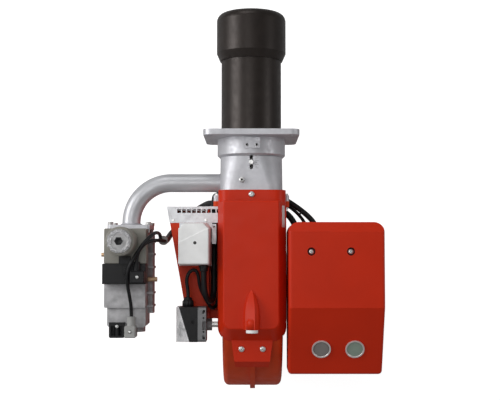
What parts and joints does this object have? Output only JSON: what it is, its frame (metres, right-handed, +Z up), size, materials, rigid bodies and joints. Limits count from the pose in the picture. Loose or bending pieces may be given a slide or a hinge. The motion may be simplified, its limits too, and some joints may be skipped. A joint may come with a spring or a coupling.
{
  "type": "industrial gas burner",
  "caption": "Forced-draught gas burner: blast tube on a square boiler flange, red fan housing, side motor, gas valve train, air damper servo and a light control box.",
  "frame": {"origin": "centre of the boiler flange's front face, on the blast tube's axis", "axes": "+Y forward along the blast tube into the boiler, +X to the right seen from above with the tube forward (the motor and control panel's side), +Z up, out of the cover's top"},
  "size_m": [0.638, 0.892, 0.5317],
  "materials": {
    "red_paint": "semi-gloss",
    "red_cover": "semi-gloss",
    "burnt_steel": "satin",
    "steel": "satin",
    "zinc_screw": "satin",
    "cast_aluminium": "cast satin",
    "light_grey_paint": "satin",
    "valve_grey": "satin",
    "black_plastic": "matte",
    "grey_plastic": "matte",
    "dark_grey_plastic": "matte",
    "white_plastic": "satin",
    "brass": "satin",
    "ceramic": "glossy",
    "glass": "clear",
    "clear_plastic": "clear moulded plastic",
    "green_lens": "glossy",
    "cable_black": "matte"
  },
  "bodies": {
    "burner": {"blast_tube": "burnt_steel", "head_shell": "burnt_steel", "mounting_flange": "cast_aluminium", "pipe_coupling": "cast_aluminium", "small_screws": "zinc_screw", "test_nipples": "brass", "gas_pipe": "light_grey_paint", "gas_flange": "cast_aluminium", "flange_bolts": "zinc_screw", "valve_body": "cast_aluminium", "valve_coil_box": "valve_grey", "valve_switch_box": "black_plastic", "plug_black": "black_plastic", "plug_grey": "grey_plastic", "gas_pressure_switch": "black_plastic", "fan_housing": "red_paint", "motor_plate": "steel", "motor_housing": "cast_aluminium", "motor_bolts": "zinc_screw", "lug_bolts": "zinc_screw", "housing_cover": "red_cover", "sight_ring": "black_plastic", "sight_glass": "glass", "cover_screws": "zinc_screw", "intake_box": "red_paint", "intake_grille": "steel", "servo_base": "grey_plastic", "servo_cover": "white_plastic", "air_switch_base": "cast_aluminium", "air_switch_housing": "black_plastic", "air_switch_cover": "clear_plastic", "air_switch_nipple": "brass", "panel_base": "dark_grey_plastic", "panel_cover": "red_cover", "panel_screws": "zinc_screw", "button_rings": "steel", "signal_lens": "green_lens", "control_box": "dark_grey_plastic", "cable_glands": "black_plastic", "conduit_clip": "grey_plastic", "valve_lead_long": "cable_black", "valve_lead_short": "cable_black", "conduit_left": "cable_black", "servo_conduit": "cable_black", "air_switch_lead": "cable_black"},
    "fan_rotor": {"fan_wheel": "steel", "motor_shaft": "steel"},
    "air_damper": {"damper_blade": "steel", "damper_shaft": "steel"},
    "head_adjuster": {"gas_tube": "steel", "gas_distributor": "steel", "flame_disc": "steel", "ignition_electrodes": "ceramic", "ionisation_probe": "ceramic", "electrode_clamp": "steel", "head_lock_screw": "zinc_screw"},
    "reset_push": {"reset_button": "dark_grey_plastic"},
    "regulator_knob": {"valve_knob": "clear_plastic"},
    "gas_switch_dial": {"valve_dial": "white_plastic"},
    "air_dial": {"air_switch_dial": "white_plastic"}
  },
  "joints": [
    {"name": "fan_spin", "type": "hinge", "parent": "burner", "child": "fan_rotor", "pos_m": [0, -0.36, -0.15], "axis": [1, 0, 0], "continuous": true},
    {"name": "damper_turn", "type": "hinge", "parent": "burner", "child": "air_damper", "pos_m": [-0.131, -0.258, 0], "axis": [0, 0, 1], "range_deg": [0, 90]},
    {"name": "head_slide", "type": "slide", "parent": "burner", "child": "head_adjuster", "axis": [0, 1, 0], "range_m": [-0.01, 0.01]},
    {"name": "reset_press", "type": "slide", "parent": "burner", "child": "reset_push", "axis": [0, -0.4161, 0.9093], "range_m": [-0.004, 0], "stiffness_N_per_m": 300},
    {"name": "regulator_turn", "type": "hinge", "parent": "burner", "child": "regulator_knob", "pos_m": [-0.2865, -0.254, 0.1], "axis": [0, 0, 1], "range_deg": [0, 300]},
    {"name": "gas_dial_turn", "type": "hinge", "parent": "burner", "child": "gas_switch_dial", "pos_m": [-0.2865, -0.3195, 0.1], "axis": [0, 0, 1], "range_deg": [0, 270]},
    {"name": "air_dial_turn", "type": "hinge", "parent": "burner", "child": "air_dial", "pos_m": [-0.165, -0.453, 0.046], "axis": [1, 0, 0], "range_deg": [0, 270]}
  ]
}
